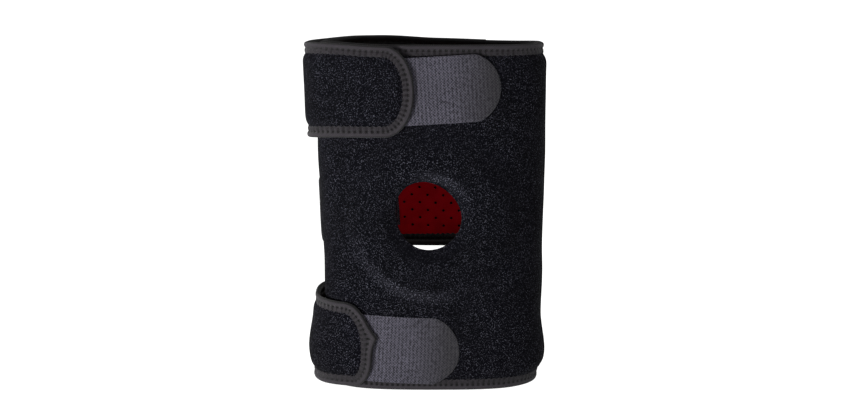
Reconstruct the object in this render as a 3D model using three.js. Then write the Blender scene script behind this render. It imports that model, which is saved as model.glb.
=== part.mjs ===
// A wrap-around knee sleeve with an open kneecap hole, closed and standing on its lower rim.
// Units are millimetres, +Z is up, the front faces -Y and +X is to the right of it.
// Every cloth piece is a flat pattern, drawn in two directions: along, the arc length round the plan
// curve from the seam at the right side, over the back to the left side and on over the front, and up.
// The pattern gets its thickness from two offsets, counted outwards from the sleeve's outer face.
import * as THREE from "three";

// The sleeve as a whole
const SLEEVE_HEIGHT = 300;
const BODY_WIDTH = 200;
const BODY_DEPTH = 110;
const ROUNDING = 3; // power of the plan curve: 2 is an ellipse, more is flatter in front
const SEAM_FORWARD = 19; // side seam, ahead of the middle of the depth

// Layers
const SHELL_WALL = 3.8; // loop cloth on foam
const LINING_WALL = 0.9;
const BOUND_SHELL_WALL = 0.9; // where the tape pinches it
const BOUND_LINING_WALL = 0.6;
const TAPE_WALL = 0.7;
const TAPE_WIDTH = 9.4;
const TAPE_ROUND = 1;
const SWELL_WIDTH = 7; // from the tape's edge to the full thickness
const TAB_WALL = 1.2;
const LAYER_GAP = 0.3;
const SEAM_GAP = 0.3;

// Kneecap hole and the padded ring round it
const HOLE_WIDTH = 57.5;
const HOLE_ACROSS = -3.5;
const HOLE_HEIGHT = 154.5;
const RING_INNER_RADIUS = 31;
const RING_OUTER_RADIUS = 74;
const RING_SLOPE_WIDTH = 12;
const RING_RISE = 2.5;
const HOLE_FIELD_WIDTH = 160;
const HOLE_FIELD_HEIGHT = 152;
const HOLE_SIDES = 32; // a multiple of 8

// Where the panels and straps begin and end, across from the middle of the front or back
const FRONT_PANEL_HIDDEN_END = -42;
const STRAP_ROOT = 50;
const STRAP_RISE_WIDTH = 50; // stretch over which a strap climbs onto the hidden end
const STRAP_RISE_CLEARANCE = 7;

// One row for each strap. low and high are its edges, at the root and at the tip. across and side
// place the tip. turn_low and turn_high are the heights of its round corners, each as deep as deep_low
// and deep_high say. stand_off is how far it stands away at the left side, beyond its resting place.
const STRAPS = {
  upper: {
    low_root: SLEEVE_HEIGHT - 81.5, low_tip: SLEEVE_HEIGHT - 77,
    high_root: SLEEVE_HEIGHT, high_tip: SLEEVE_HEIGHT - 4,
    across: -14.5, side: "front", turn_low: 36, turn_high: 37, deep_low: 25, deep_high: 25,
    stand_off: 5.2, kink: 0,
  },
  middle: {
    low_root: SLEEVE_HEIGHT / 2 - 42, low_tip: SLEEVE_HEIGHT / 2 - 45,
    high_root: SLEEVE_HEIGHT / 2 + 45, high_tip: SLEEVE_HEIGHT / 2 + 41,
    across: -56, side: "back", turn_low: 39, turn_high: 40, deep_low: 25, deep_high: 25,
    stand_off: 0, kink: 0,
  },
  lower: {
    low_root: 0, low_tip: 4, high_root: 80, high_tip: 77.5,
    across: -53, side: "front", turn_low: 26, turn_high: 40, deep_low: 16, deep_high: 24,
    stand_off: 6.8, kink: 3.8,
  },
};
// How much of the stand-off each height of a strap has: shares of its height and of its stand_off
const STAND_OFF_SHARES = {
  upper: [{ up: 0, out: 0.75 }, { up: 1, out: 1 }],
  middle: [{ up: 0, out: 0 }, { up: 1, out: 0 }],
  lower: [{ up: 0, out: 0.62 }, { up: 0.36, out: 1 }, { up: 1, out: 0.36 }],
};
const STAND_OFF_WIDTH = 130; // stretch of a strap round the left side that stands away
const KINK_UP = 0.59; // share of the strap's height
const KINK_WIDTH = 16;

// Hook tabs: one row each. up is the middle of the tab at the strap's tip, slope its rise in degrees.
const TAB_HIDDEN = 24; // sewn under the strap's end
const TABS = {
  upper: { width: 56.5, shown: 73, up: SLEEVE_HEIGHT - 39, slope: 3.4, round_depth: 20 },
  middle: { width: 56, shown: 92, up: SLEEVE_HEIGHT / 2 + 3, slope: -2, round_depth: 14 },
  lower: { width: 59, shown: 75.5, up: 37.5, slope: -2, round_depth: 21 },
};

// The body's shape at some heights: shares of the height, the half width and the half depth, and
// how far the middle leans to the right, as a share of the half width
const SECTIONS = [
  { at: 0, width: 0.975, depth: 0.985, lean: 0.008 },
  { at: 0.09, width: 0.997, depth: 0.995, lean: 0.023 },
  { at: 0.2, width: 0.969, depth: 0.985, lean: 0.019 },
  { at: 0.36, width: 0.97, depth: 0.985, lean: 0.017 },
  { at: 0.7, width: 0.997, depth: 1, lean: 0.002 },
  { at: 1, width: 1, depth: 1, lean: 0 },
];

// Facets
const MOST_TURN = THREE.MathUtils.degToRad(17);
const LONGEST_STEP = 26;
const WALK_STEP = 0.5;
const CORNER_STEPS = 5;

// Colours
const LOOP_CLOTH = { color: 0x1b1c22, roughness: 0.95, metalness: 0 };
const RED_LINING = { color: 0x8c0d18, roughness: 0.8, metalness: 0 };
const EDGE_TAPE = { color: 0x48444a, roughness: 0.8, metalness: 0 };
const HOOK_WEAVE = { color: 0x55525a, roughness: 0.85, metalness: 0 };

const HALF_WIDTH = BODY_WIDTH / 2;
const HALF_DEPTH = BODY_DEPTH / 2;
const LAMINATE = SHELL_WALL + LAYER_GAP + LINING_WALL;
const BOUND_LAMINATE = BOUND_SHELL_WALL + LAYER_GAP + BOUND_LINING_WALL;
const BOUND_OUTER = -(LAMINATE - BOUND_LAMINATE) / 2;
const TAPE_OUTER = BOUND_OUTER + LAYER_GAP + TAPE_WALL;
const TAPE_INNER = BOUND_OUTER - BOUND_LAMINATE - LAYER_GAP - TAPE_WALL;
const CLOTH_INSET = TAPE_WALL + LAYER_GAP; // from a finished edge to the cloth's own edge
const PINCH_INSET = TAPE_WIDTH + LAYER_GAP;
const SWOLLEN_INSET = PINCH_INSET + SWELL_WIDTH;
const STRAP_REST = LAMINATE + TAB_WALL + 2 * LAYER_GAP; // outer face of a strap that lies on a panel

const { lerp, clamp, smoothstep } = THREE.MathUtils;

// A value of a table's column between its rows, eased from each row to the next.
function fromRows(rows, place, at, column) {
  const next = Math.max(1, rows.findIndex((row) => row[place] >= at));
  const [low, high] = at >= rows.at(-1)[place] ? rows.slice(-2) : [rows[next - 1], rows[next]];
  return lerp(low[column], high[column], smoothstep(at, low[place], high[place]));
}

// Depth of the plan curve at a distance across, and the other way round.
const partner = (value, own, other) => other * (1 - Math.abs(value / own) ** ROUNDING) ** (1 / ROUNDING);

// The outer face in plan: a superellipse by its polar angle, from the side seam over the back.
class PlanCurve extends THREE.Curve {
  constructor() {
    super();
    this.arcLengthDivisions = 2000;
    this.start = Math.atan2(-SEAM_FORWARD, partner(SEAM_FORWARD, HALF_DEPTH, HALF_WIDTH));
  }
  getPoint(t, target = new THREE.Vector3()) {
    const angle = this.start + 2 * Math.PI * t;
    const [c, s] = [Math.cos(angle), Math.sin(angle)];
    const power = Math.abs(c / HALF_WIDTH) ** ROUNDING + Math.abs(s / HALF_DEPTH) ** ROUNDING;
    return target.set(c, s, 0).multiplyScalar(power ** (-1 / ROUNDING));
  }
  // Arc length from the side seam to the point at a distance across, at the front or the back.
  along(across, side) {
    const deep = partner(across, HALF_WIDTH, HALF_DEPTH) * (side === "front" ? -1 : 1);
    const turn = (Math.atan2(deep, across) - this.start) / (2 * Math.PI);
    const place = (turn - Math.floor(turn)) * this.arcLengthDivisions;
    const lengths = this.getLengths();
    const below = Math.floor(place);
    return lerp(lengths[below], lengths[below + 1], place - below);
  }
}
const plan = new PlanCurve();
const ROUND = plan.getLength();
const LEFT_SIDE = plan.along(-HALF_WIDTH, "back");
const HIDDEN_END = plan.along(FRONT_PANEL_HIDDEN_END, "back");
const ROOT = plan.along(STRAP_ROOT, "back");
const HOLE_ALONG = plan.along(HOLE_ACROSS, "front");

// Puts a point of a pattern in space: round the plan curve, out by its offset, then by height.
function wrap(along, up, out) {
  const share = (along / ROUND) % 1;
  const point = plan.getPointAt(share);
  const tangent = plan.getTangentAt(share);
  const at = clamp(up / SLEEVE_HEIGHT, 0, 1);
  const x = (point.x + out * tangent.y) * fromRows(SECTIONS, "at", at, "width");
  const y = (point.y - out * tangent.x) * fromRows(SECTIONS, "at", at, "depth");
  return new THREE.Vector3(x + HALF_WIDTH * fromRows(SECTIONS, "at", at, "lean"), y, up);
}

// Stations between two arc lengths, closer where the plan curve turns.
function stationsByTurn(from, to) {
  const list = [from];
  let heading = plan.getTangentAt(from / ROUND);
  for (let at = from + WALK_STEP; at < to - WALK_STEP; at += WALK_STEP) {
    const now = plan.getTangentAt(at / ROUND);
    if (now.angleTo(heading) < MOST_TURN && at - list.at(-1) < LONGEST_STEP) continue;
    list.push(at);
    heading = now;
  }
  return [...list, to];
}
const evenly = (from, to, steps) => Array.from({ length: steps + 1 }, (_, i) => lerp(from, to, i / steps));

// Stations that all layers share, so that their facets lie parallel: even ones in the field of the hole.
const FIELD_STEPS = HOLE_SIDES / 4;
const FIELD_FROM = HOLE_ALONG - HOLE_FIELD_WIDTH / 2;
const FIELD_TO = HOLE_ALONG + HOLE_FIELD_WIDTH / 2;
const STATIONS = [
  ...stationsByTurn(0, HIDDEN_END + PINCH_INSET),
  ...stationsByTurn(HIDDEN_END + SWOLLEN_INSET, LEFT_SIDE),
  ...stationsByTurn(LEFT_SIDE, FIELD_FROM).slice(1),
  ...evenly(FIELD_FROM, FIELD_TO, FIELD_STEPS).slice(1),
  ...stationsByTurn(FIELD_TO, ROUND).slice(1),
];
const SHORTEST_STEP = 2.5;
// The shared stations strictly between two arc lengths, with the ends themselves.
function stations(from, to, extra = []) {
  const fixed = [from, ...extra, to];
  const shared = STATIONS.filter((s) => s > from && s < to);
  const clear = shared.filter((s) => fixed.every((f) => Math.abs(s - f) > SHORTEST_STEP));
  return [...fixed, ...clear].sort((a, b) => a - b);
}

// A flat pattern of cells over points; each point knows its distance from the nearest bound edge.
class Pattern {
  points = [];
  cells = [];
  places = new Map();
  point(along, up, inset = Infinity) {
    const key = along.toFixed(3) + " " + up.toFixed(3);
    if (!this.places.has(key)) this.places.set(key, this.points.push({ along, up, inset }) - 1);
    return this.places.get(key);
  }
  // Corners anticlockwise, seen with along to the right and up upwards; repeated corners drop out.
  cell(...corners) {
    const own = corners.filter((c, i) => c !== corners.at(i - 1));
    for (let i = 2; i < own.length; i++) this.cells.push([own[0], own[i - 1], own[i]]);
  }
}

// The solid between a pattern's two faces.
function thicken(pattern, outer, inner) {
  const count = pattern.points.length;
  const faces = [outer, inner].map((face) => pattern.points.map((p) => wrap(p.along, p.up, face(p))));
  const index = [];
  const edges = new Map();
  for (const [a, b, c] of pattern.cells) {
    index.push(a, b, c, count + a, count + c, count + b);
    for (const [from, to] of [[a, b], [b, c], [c, a]])
      if (!edges.delete(to + " " + from)) edges.set(from + " " + to, [from, to]);
  }
  for (const [a, b] of edges.values()) index.push(b, a, count + a, b, count + a, count + b);
  return new THREE.BufferGeometry().setFromPoints(faces.flat()).setIndex(index);
}

// The laminate's two layers: thin under the tape, full beyond it, outer face at rest(point).
const swell = (p) => smoothstep(p.inset, PINCH_INSET, SWOLLEN_INSET);
function shellFaces(rest = () => 0, rise = () => 0) {
  const outer = (p) => rest(p) + lerp(BOUND_OUTER, 0, swell(p));
  return [(p) => outer(p) + rise(p), (p) => outer(p) - lerp(BOUND_SHELL_WALL, SHELL_WALL, swell(p))];
}
function liningFaces(rest = () => 0) {
  const [, shellInner] = shellFaces(rest);
  const outer = (p) => shellInner(p) - LAYER_GAP;
  return [outer, (p) => outer(p) - lerp(BOUND_LINING_WALL, LINING_WALL, swell(p))];
}

// A tape folded over an edge: its section, as inset from the finished edge and offset, anticlockwise
// when seen from the end of the path, carried along the path's places {along, up, inward}.
const TAPE_SECTION = [
  { inset: TAPE_WIDTH, out: TAPE_OUTER },
  { inset: TAPE_ROUND, out: TAPE_OUTER },
  { inset: 0, out: TAPE_OUTER - TAPE_ROUND },
  { inset: 0, out: TAPE_INNER + TAPE_ROUND },
  { inset: TAPE_ROUND, out: TAPE_INNER },
  { inset: TAPE_WIDTH, out: TAPE_INNER },
  { inset: TAPE_WIDTH, out: TAPE_INNER + TAPE_WALL },
  { inset: TAPE_WALL, out: TAPE_INNER + TAPE_WALL },
  { inset: TAPE_WALL, out: TAPE_OUTER - TAPE_WALL },
  { inset: TAPE_WIDTH, out: TAPE_OUTER - TAPE_WALL },
];
function foldedTape(path, rest = () => 0) {
  const rings = path.map(({ along, up, inward, widened = 0 }) =>
    TAPE_SECTION.map(({ inset, out }) => {
      const reach = inset + (inset === TAPE_WIDTH ? widened : 0);
      const p = { along: along + reach * inward.x, up: up + reach * inward.y };
      return wrap(p.along, p.up, rest(p) + out);
    }),
  );
  const sides = TAPE_SECTION.length;
  const index = [];
  for (let ring = 1; ring < rings.length; ring++)
    for (let side = 0; side < sides; side++) {
      const [a, b] = [side, (side + 1) % sides].map((k) => (ring - 1) * sides + k);
      index.push(a, b, b + sides, a, b + sides, a + sides);
    }
  const outline = TAPE_SECTION.map(({ inset, out }) => new THREE.Vector2(inset, out));
  const last = (rings.length - 1) * sides;
  for (const [a, b, c] of THREE.ShapeUtils.triangulateShape(outline, []))
    index.push(a, c, b, last + a, last + b, last + c);
  return new THREE.BufferGeometry().setFromPoints(rings.flat()).setIndex(index);
}

// The padded ring round the hole, as the height of the outer face over the plain panel.
function ringRise({ along, up }) {
  const radius = Math.hypot(along - HOLE_ALONG, up - HOLE_HEIGHT);
  const inside = smoothstep(radius, RING_INNER_RADIUS, RING_INNER_RADIUS + RING_SLOPE_WIDTH);
  return RING_RISE * inside * (1 - smoothstep(radius, RING_OUTER_RADIUS - RING_SLOPE_WIDTH, RING_OUTER_RADIUS));
}

const FRONT_END = ROUND - SEAM_GAP / 2;
const FIELD_LOW = HOLE_HEIGHT - HOLE_FIELD_HEIGHT / 2;
const FIELD_HIGH = HOLE_HEIGHT + HOLE_FIELD_HEIGHT / 2;

// The front panel: rows and columns, with rings of cells round the hole in place of its field.
function frontPattern(ringRadii) {
  const pattern = new Pattern();
  const columns = stations(HIDDEN_END + CLOTH_INSET, FRONT_END);
  const rows = [
    CLOTH_INSET, PINCH_INSET,
    ...evenly(SWOLLEN_INSET, FIELD_LOW, 3),
    ...evenly(FIELD_LOW, FIELD_HIGH, FIELD_STEPS).slice(1),
    ...evenly(FIELD_HIGH, SLEEVE_HEIGHT - SWOLLEN_INSET, 2).slice(1),
    SLEEVE_HEIGHT - PINCH_INSET, SLEEVE_HEIGHT - CLOTH_INSET,
  ];
  const at = (along, up) =>
    pattern.point(along, up, Math.min(along - HIDDEN_END, up, SLEEVE_HEIGHT - up));
  for (let i = 1; i < columns.length; i++)
    for (let j = 1; j < rows.length; j++) {
      const middle = (columns[i] + columns[i - 1]) / 2;
      const inField = middle > FIELD_FROM && middle < FIELD_TO && rows[j - 1] >= FIELD_LOW && rows[j] <= FIELD_HIGH;
      if (inField) continue;
      pattern.cell(at(columns[i - 1], rows[j - 1]), at(columns[i], rows[j - 1]), at(columns[i], rows[j]), at(columns[i - 1], rows[j]));
    }
  // Once round the field's rim, anticlockwise from its lower right corner
  const rim = [];
  for (let k = 0; k < FIELD_STEPS; k++) rim.push([1, lerp(-1, 1, k / FIELD_STEPS)]);
  for (let k = 0; k < FIELD_STEPS; k++) rim.push([lerp(1, -1, k / FIELD_STEPS), 1]);
  for (let k = 0; k < FIELD_STEPS; k++) rim.push([-1, lerp(1, -1, k / FIELD_STEPS)]);
  for (let k = 0; k < FIELD_STEPS; k++) rim.push([lerp(-1, 1, k / FIELD_STEPS), -1]);
  const rings = ringRadii.map((radius) =>
    rim.map((_, k) => {
      const angle = -Math.PI / 4 + (2 * Math.PI * k) / HOLE_SIDES;
      return at(HOLE_ALONG + radius * Math.cos(angle), HOLE_HEIGHT + radius * Math.sin(angle));
    }),
  );
  rings.push(rim.map(([x, y]) => at(HOLE_ALONG + (x * HOLE_FIELD_WIDTH) / 2, HOLE_HEIGHT + (y * HOLE_FIELD_HEIGHT) / 2)));
  for (let ring = 1; ring < rings.length; ring++)
    rim.forEach((_, k) => {
      const next = (k + 1) % HOLE_SIDES;
      pattern.cell(rings[ring - 1][k], rings[ring][k], rings[ring][next], rings[ring - 1][next]);
    });
  return pattern;
}

// The back panel, bound along its lower and upper edges, with a row at each height where a strap bends.
function backPattern() {
  const pattern = new Pattern();
  const columns = stations(SEAM_GAP / 2, ROOT - SEAM_GAP / 2);
  const bends = Object.values(STRAPS).flatMap(({ low_root, high_root }) => [
    low_root + SWOLLEN_INSET, (low_root + high_root) / 2, high_root - SWOLLEN_INSET,
  ]);
  const rows = [
    CLOTH_INSET, PINCH_INSET,
    ...bends.sort((a, b) => a - b),
    SLEEVE_HEIGHT - PINCH_INSET, SLEEVE_HEIGHT - CLOTH_INSET,
  ];
  const at = (along, up) => pattern.point(along, up, Math.min(up, SLEEVE_HEIGHT - up));
  for (let i = 1; i < columns.length; i++)
    for (let j = 1; j < rows.length; j++)
      pattern.cell(at(columns[i - 1], rows[j - 1]), at(columns[i], rows[j - 1]), at(columns[i], rows[j]), at(columns[i - 1], rows[j]));
  return pattern;
}

// The outline of a strap, out along its low edge, round its tip and back along its high edge. Each
// place has the point of the strap's middle line that it looks at.
function strapOutline(row) {
  const root = ROOT + SEAM_GAP / 2;
  const tip = plan.along(row.across, row.side);
  const low = (along) => lerp(row.low_root, row.low_tip, (along - root) / (tip - root));
  const high = (along) => lerp(row.high_root, row.high_tip, (along - root) / (tip - root));
  const places = [];
  const add = (along, up, middle, widened = 0) => {
    const at = new THREE.Vector2(along, up);
    const centre = new THREE.Vector2(middle, (low(middle) + high(middle)) / 2);
    const inward = centre.clone().sub(at).normalize();
    places.push({ along, up, inward, widened, centre });
  };
  const end = tip - Math.max(row.deep_low, row.deep_high);
  const run = stations(root, end);
  for (const along of run) add(along, low(along), along);
  const corner = (deep, turn, up, side) => (angle) => {
    const rise = turn * (1 - Math.sin(angle));
    add(tip - deep * (1 - Math.cos(angle)), up + side * rise, end);
  };
  const turns = evenly(0, Math.PI / 2, CORNER_STEPS);
  const lowCorner = corner(row.deep_low, row.turn_low, row.low_tip, 1);
  const highCorner = corner(row.deep_high, row.turn_high, row.high_tip, -1);
  for (const angle of turns.toReversed().slice(row.deep_low < row.deep_high ? 0 : 1)) lowCorner(angle);
  if (row.kink) {
    const up = lerp(row.low_tip, row.high_tip, KINK_UP);
    for (const [step, out] of [[-0.5, 0], [0, row.kink], [0.5, 0]])
      add(tip + out, up + step * KINK_WIDTH, end, out);
  }
  const reached = places.at(-1).up;
  for (const angle of turns.slice(0, -1))
    if (row.high_tip - row.turn_high * (1 - Math.sin(angle)) > reached + 1) highCorner(angle);
  for (const along of run.toReversed()) add(along, high(along), along);
  return places;
}

function strapPattern(outline) {
  const pattern = new Pattern();
  const ring = ({ along, up, inward }, inset, move) =>
    pattern.point(along + (inset + move) * inward.x, up + (inset + move) * inward.y, inset);
  const columns = outline.map((place) => [
    ring(place, CLOTH_INSET, 0),
    ring(place, PINCH_INSET, place.widened),
    ring(place, SWOLLEN_INSET, place.widened),
    pattern.point(place.centre.x, place.centre.y),
  ]);
  for (let i = 1; i < columns.length; i++)
    for (let j = 1; j < columns[i].length; j++)
      pattern.cell(columns[i - 1][j - 1], columns[i][j - 1], columns[i][j], columns[i - 1][j]);
  return pattern;
}

// Where a strap's outer face lies: flush at its root, up onto the panel's hidden end, away from the
// panel round the left side, and down on the tab at its tip.
function strapRest(row, shares) {
  const climbed = HIDDEN_END - STRAP_RISE_CLEARANCE;
  return ({ along, up }) => {
    const share = clamp((up - row.low_root) / (row.high_root - row.low_root), 0, 1);
    const away = clamp(Math.abs(along - LEFT_SIDE) / (STAND_OFF_WIDTH / 2), 0, 1);
    const stand = row.stand_off * Math.cos((away * Math.PI) / 2) ** 2 * fromRows(shares, "up", share, "out");
    return STRAP_REST * smoothstep(along, climbed - STRAP_RISE_WIDTH, climbed) + stand;
  };
}

// A hook tab: a strip that lies on the panel and ends in an arc, turned by its slope at the tip.
function tabGeometry(strap, tab) {
  const tip = plan.along(strap.across, strap.side);
  const half = tab.width / 2;
  const radius = (half ** 2 + tab.round_depth ** 2) / (2 * tab.round_depth);
  const arcFrom = tab.shown - tab.round_depth;
  const opening = Math.asin(Math.min(1, half / radius));
  const arcs = evenly(opening, 0, CORNER_STEPS + 1).map((angle) => tab.shown - radius * (1 - Math.cos(angle)));
  const columns = stations(tip - TAB_HIDDEN, tip + tab.shown, arcs.slice(0, -1).map((along) => tip + along));
  const slope = THREE.MathUtils.degToRad(tab.slope);
  const pattern = new Pattern();
  const at = (own, across) =>
    pattern.point(tip + own * Math.cos(slope) - across * Math.sin(slope), tab.up + own * Math.sin(slope) + across * Math.cos(slope));
  const grid = columns.map((along) => {
    const own = along - tip;
    const past = Math.max(0, own - arcFrom - (radius > tab.round_depth ? 0 : tab.round_depth - radius));
    const reach = past ? Math.sqrt(Math.max(0, radius ** 2 - (radius - (tab.shown - own)) ** 2)) : half;
    return [-reach, 0, reach].map((across) => at(own, across));
  });
  for (let i = 1; i < grid.length; i++)
    for (let j = 1; j < 3; j++) pattern.cell(grid[i - 1][j - 1], grid[i][j - 1], grid[i][j], grid[i - 1][j]);
  return thicken(pattern, () => LAYER_GAP + TAB_WALL, () => LAYER_GAP);
}

// A binding's path along a level edge, with the cloth to the left of it, for foldedTape.
function levelEdge(from, to, up, inward) {
  const path = stations(from, to).map((along) => ({ along, up, inward: new THREE.Vector2(0, inward) }));
  return inward > 0 ? path : path.reverse();
}

const part = new THREE.Group();
const sleeve = new THREE.Group();
part.add(sleeve);
function addMesh(name, geometry, finish) {
  const mesh = new THREE.Mesh(geometry, new THREE.MeshStandardMaterial(finish));
  mesh.name = name;
  sleeve.add(mesh);
}

const holeRings = [
  HOLE_WIDTH / 2,
  RING_INNER_RADIUS,
  RING_INNER_RADIUS + RING_SLOPE_WIDTH / 2,
  RING_INNER_RADIUS + RING_SLOPE_WIDTH,
  RING_OUTER_RADIUS - RING_SLOPE_WIDTH,
  RING_OUTER_RADIUS - RING_SLOPE_WIDTH / 2,
  RING_OUTER_RADIUS,
];
const liningRings = [0, 3, 6].map((k) => holeRings[k]);
addMesh("front_panel", thicken(frontPattern(holeRings), ...shellFaces(undefined, ringRise)), LOOP_CLOTH);
addMesh("front_lining", thicken(frontPattern(liningRings), ...liningFaces()), RED_LINING);
const frontEdge = (up, inward) => foldedTape(levelEdge(HIDDEN_END, FRONT_END, up, inward));
addMesh("front_bottom_binding", frontEdge(0, 1), EDGE_TAPE);
addMesh("front_top_binding", frontEdge(SLEEVE_HEIGHT, -1), EDGE_TAPE);
const endClear = TAPE_WIDTH + LAYER_GAP;
const hiddenEdge = evenly(SLEEVE_HEIGHT - endClear, endClear, 8).map((up) => ({
  along: HIDDEN_END, up, inward: new THREE.Vector2(1, 0),
}));
addMesh("front_end_binding", foldedTape(hiddenEdge), EDGE_TAPE);

addMesh("back_panel", thicken(backPattern(), ...shellFaces()), LOOP_CLOTH);
addMesh("back_lining", thicken(backPattern(), ...liningFaces()), RED_LINING);
const backEdge = (up, inward) => foldedTape(levelEdge(SEAM_GAP / 2, ROOT - SEAM_GAP / 2, up, inward));
addMesh("back_bottom_binding", backEdge(0, 1), EDGE_TAPE);
addMesh("back_top_binding", backEdge(SLEEVE_HEIGHT, -1), EDGE_TAPE);

for (const [name, row] of Object.entries(STRAPS)) {
  const outline = strapOutline(row);
  const rest = strapRest(row, STAND_OFF_SHARES[name]);
  addMesh(name + "_strap", thicken(strapPattern(outline), ...shellFaces(rest)), LOOP_CLOTH);
  addMesh(name + "_strap_lining", thicken(strapPattern(outline), ...liningFaces(rest)), RED_LINING);
  addMesh(name + "_strap_binding", foldedTape(outline, rest), EDGE_TAPE);
  addMesh(name + "_hook_tab", tabGeometry(row, TABS[name]), HOOK_WEAVE);
}

// The origin is under the middle of the whole sleeve's box.
const box = new THREE.Box3().setFromObject(sleeve);
const middle = box.getCenter(new THREE.Vector3());
sleeve.position.set(-middle.x, -middle.y, -box.min.z);

export default part;
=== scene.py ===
"""Knee sleeve: the cloth, tapes and finishes of the closed wrap-around sleeve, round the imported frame.

Every cloth is a flat pattern wrapped round the plan curve, as in the solids: along is the arc length
from the seam at the right side, over the back to the left side and on over the front, and up is the
height. Lengths in formulas are millimetres, and wrap() turns them into metres.
"""
import math

import bmesh
import bpy
import numpy as np
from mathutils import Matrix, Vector
from mathutils.geometry import delaunay_2d_cdt


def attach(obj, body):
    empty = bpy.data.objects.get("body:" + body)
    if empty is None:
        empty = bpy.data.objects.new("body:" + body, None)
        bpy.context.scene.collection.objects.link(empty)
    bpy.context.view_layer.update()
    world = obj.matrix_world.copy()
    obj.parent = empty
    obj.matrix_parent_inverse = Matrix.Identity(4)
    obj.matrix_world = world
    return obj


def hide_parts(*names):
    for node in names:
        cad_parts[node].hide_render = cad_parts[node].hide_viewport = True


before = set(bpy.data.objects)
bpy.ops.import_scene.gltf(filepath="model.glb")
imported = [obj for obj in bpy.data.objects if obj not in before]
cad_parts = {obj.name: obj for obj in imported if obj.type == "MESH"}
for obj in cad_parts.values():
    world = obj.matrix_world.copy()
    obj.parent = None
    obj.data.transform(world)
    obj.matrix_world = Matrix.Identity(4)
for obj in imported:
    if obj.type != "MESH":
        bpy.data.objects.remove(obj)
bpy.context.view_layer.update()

bl_info = {
    "name": "Knee sleeve",
    "version": (1, 0, 0),
    "blender": (4, 5, 0),
    "location": "3D View > Sidebar > Knee Sleeve",
    "description": "Builds the cloth, tapes and finishes of a wrap-around knee sleeve",
    "category": "Add Mesh",
}

MM = 0.001

# The sleeve as the solids have it
HEIGHT = 300.0
HALF_WIDTH, HALF_DEPTH, ROUNDING = 100.0, 55.0, 3
SEAM_FORWARD = 19.0
SHIFT = (5.4601, 0.1191)  # from the middle of the plan curve to the frame's origin
# Share of the height, shares of the half width and half depth, and the lean to the right
SECTIONS = np.array([
    (0.0, 0.975, 0.985, 0.008),
    (0.09, 0.997, 0.995, 0.023),
    (0.2, 0.969, 0.985, 0.019),
    (0.36, 0.97, 0.985, 0.017),
    (0.7, 0.997, 1.0, 0.002),
    (1.0, 1.0, 1.0, 0.0),
])
FOAM, LINING, LAYER_GAP, TAB_WALL = 3.8, 0.9, 0.3, 1.2
LAMINATE = FOAM + LAYER_GAP + LINING
STRAP_REST = LAMINATE + TAB_WALL + 2 * LAYER_GAP
SEAM_GAP = 0.3

# Kneecap hole and the padded ring, which lies a little up and to the right of it
HOLE_ACROSS, HOLE_UP = -3.5, 154.5
HOLE_HALF_WIDTH, HOLE_HALF_HEIGHT = 28.7, 29.6
RING_SHIFT = (3.0, 2.0)
RING_INNER, RING_OUTER, RING_RISE = 29.5, 80.5, 3.8
RING_INNER_SLOPE, RING_OUTER_SLOPE, RING_SOFTER_TOP = 11.0, 15.5, 12.0
PAINTED_LIGHT_FROM = (0.36, 0.93)  # painted light and shade on the padded ring's flanks, as from the lower left
PAINTED_LIGHT_FOCUS, PAINTED_LIGHT_GROWTH, PAINTED_SHADE_GROWTH = 4, 1.2, 0.7

HIDDEN_ACROSS, ROOT_ACROSS = -42.0, 50.0
CLIMB, CLIMB_CLEAR = 50.0, 7.0
STAND_OFF_WIDTH = 130.0

INNER_LEG = 1.22  # the tape reaches further on the inside, by this factor

# Straps: edges at the root and the tip, place of the tip, round corners, stand-off at the left side,
# pointed fold, reach of the tape's inner leg, sag of the low edge at the left side
STRAPS = {
    "upper": dict(low=(218.5, 223.0), high=(300.5, 299.0), across=-14.5, side="front",
                  turn=(36.0, 37.0), deep=(25.0, 25.0), stand_off=5.2, kink=0.0, leg=INNER_LEG, sag=4.2,
                  shares=((0.0, 0.75), (1.0, 1.0))),
    "middle": dict(low=(108.0, 105.0), high=(195.0, 191.0), across=-56.0, side="back",
                   turn=(39.0, 40.0), deep=(25.0, 25.0), stand_off=0.0, kink=0.0, leg=INNER_LEG, sag=0.0,
                   shares=((0.0, 0.0), (1.0, 0.0))),
    # The lower strap's inner leg reaches 15 mm. Its nearly black colour, partly painted shade, also covers
    # the strap's inside seen in the gap along its top edge at the left side.
    "lower": dict(low=(0.0, 4.0), high=(80.0, 77.5), across=-53.0, side="front",
                  turn=(26.0, 43.0), deep=(16.0, 26.0), stand_off=6.8, kink=5.0, leg=1.68, sag=2.8,
                  shares=((0.0, 0.62), (0.36, 0.9), (1.0, 0.55))),
}
KINK_UP, KINK_REACH = 47.2, 6.0
SAG_ALONG, SAG_WIDTH = 285.0, 47.0

TAB_HIDDEN = 24.0
TABS = {
    "upper": dict(width=56.5, shown=73.0, up=261.0, slope=3.4, round_depth=20.0),
    "middle": dict(width=56.0, shown=92.0, up=153.0, slope=-2.0, round_depth=14.0),
    "lower": dict(width=59.0, shown=75.5, up=37.5, slope=-2.0, round_depth=21.0),
}

# Finer forms that the solids leave out
MID = -LAMINATE / 2  # middle of the laminate, counted outwards from its outer face
CLOTH_INSET = 1.0
TAPE_WIDTH = 9.4
TAPE_WALL = 0.5
RIM_PULL, SIDE_PULL = 0.6, 2.0  # how far the tape draws the panels' rims inwards, and more at the sides
STRAP_PULL = 1.1  # and the straps' edges
STITCH_LINE = 4.8
SLOT_TURN = 6.0  # corner radius of the tape round a slot's blind end
SEAM_VALLEY, SEAM_VALLEY_WIDTH = 1.5, 2.0
HOLE_EDGE_DROP, HOLE_EDGE_WIDTH = 0.7, 1.1  # the cloth sinks at the cut edge of the kneecap hole
LINING_BEHIND_HOLE = 0.9  # how far the lining stands back from that edge
RIM_PULL_EASE, STRAP_PULL_EASE = (2, 20), (2, 18)  # insets over which the pull fades out
SIDE_PULL_EASE = (0.6 * HALF_WIDTH, 0.95 * HALF_WIDTH)

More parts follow.
